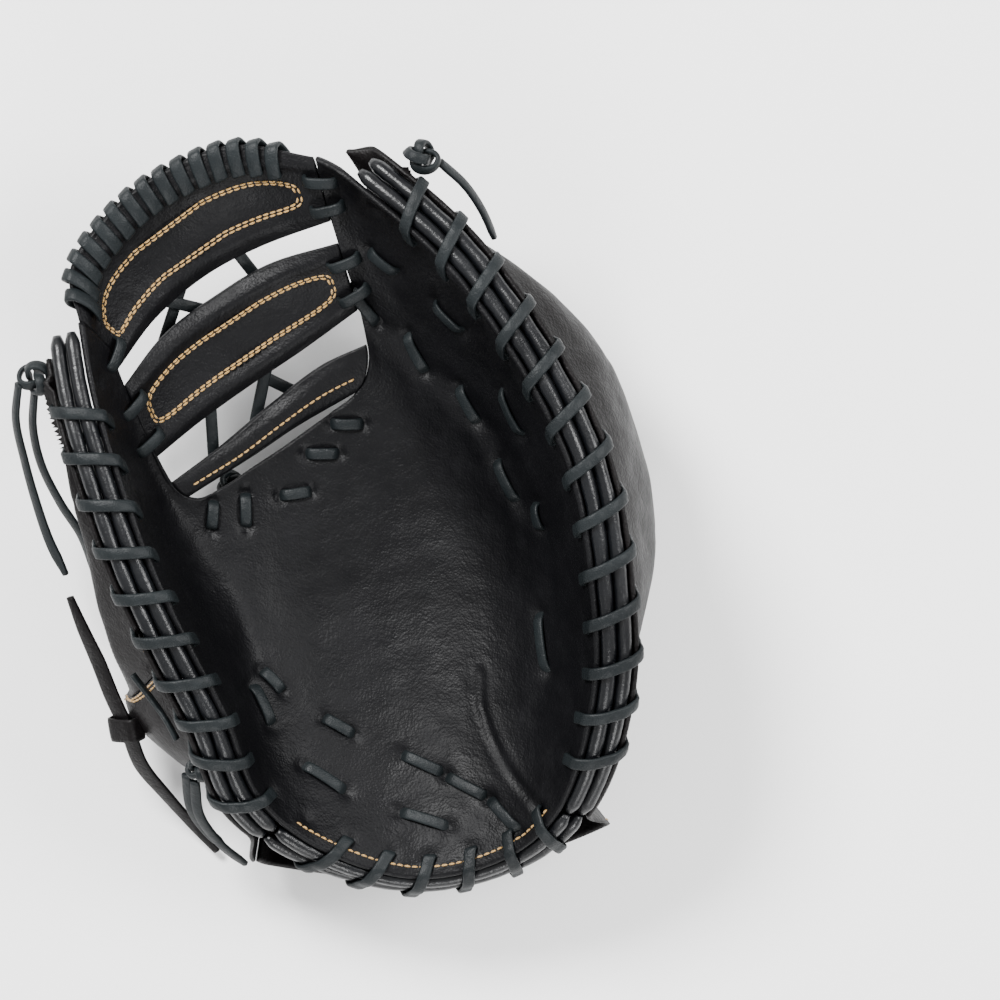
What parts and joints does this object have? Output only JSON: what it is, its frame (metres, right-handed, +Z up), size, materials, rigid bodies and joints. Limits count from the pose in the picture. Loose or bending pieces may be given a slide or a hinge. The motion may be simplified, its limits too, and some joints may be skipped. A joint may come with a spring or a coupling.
{
  "type": "first base mitt",
  "caption": "Padded leather first base mitt for the left hand, lying pocket up, with a rolled and laced rim, a barred web, an open back with a wrist strap, and loose lace ends.",
  "frame": {"origin": "middle of the underside of the mitt without its loose ends, on the surface it rests on", "axes": "+Z up out of the pocket, +Y from the heel to the web, +X from the thumb side to the finger side"},
  "size_m": [0.2565, 0.3088, 0.1283],
  "materials": {
    "shell_leather": "black, semi-matte, fine grain",
    "back_leather": "black, semi-matte, fine grain",
    "welt_leather": "black, smooth, semi-gloss rolls",
    "lace_leather": "black rawhide lace, matte",
    "binding_leather": "black, padded, semi-gloss",
    "patch_felt": "black felt with a stitched border"
  },
  "bodies": {
    "root": {"palm_shell": "shell_leather", "finger_back": "back_leather", "wrist_back": "back_leather", "thumb_back": "back_leather", "wrist_strap": "back_leather", "wrist_patch": "patch_felt", "hole_binding": "binding_leather", "thumb_roll_inner": "welt_leather", "thumb_roll_outer": "welt_leather", "heel_roll_inner": "welt_leather", "heel_roll_outer": "welt_leather", "finger_roll_inner": "welt_leather", "finger_roll_outer": "welt_leather", "thumb_rim_lace": "lace_leather", "heel_rim_lace": "lace_leather", "finger_rim_lace": "lace_leather", "web_edge_roll": "welt_leather", "web_edge_lace": "lace_leather", "web_crescent": "shell_leather", "web_bar": "shell_leather", "web_base_bar": "shell_leather", "web_top_lace": "lace_leather", "crescent_thumb_tie": "lace_leather", "bar_thumb_tie_low": "lace_leather", "bar_thumb_tie_high": "lace_leather", "crescent_finger_tie_low": "lace_leather", "crescent_finger_tie_high": "lace_leather", "bar_finger_tie_low": "lace_leather", "bar_finger_tie_high": "lace_leather", "upper_cross_lace_1": "lace_leather", "upper_cross_lace_2": "lace_leather", "upper_cross_lace_3": "lace_leather", "lower_cross_lace_1": "lace_leather", "lower_cross_lace_2": "lace_leather", "lower_cross_lace_3": "lace_leather", "thumb_knot": "lace_leather", "heel_knot": "lace_leather", "top_knot": "lace_leather", "web_knot": "lace_leather", "palm_knot": "lace_leather", "thumb_tail": "lace_leather", "side_tail": "lace_leather", "heel_tail_long": "lace_leather", "heel_tail_short": "lace_leather", "top_tail": "lace_leather", "web_tail_left": "lace_leather", "web_tail_right": "lace_leather", "palm_tail_left": "lace_leather", "palm_tail_right": "lace_leather", "strap_end_upper": "back_leather", "strap_end_lower": "back_leather", "strap_keeper": "back_leather", "heel_lead_lace": "lace_leather"}
  },
  "joints": []
}
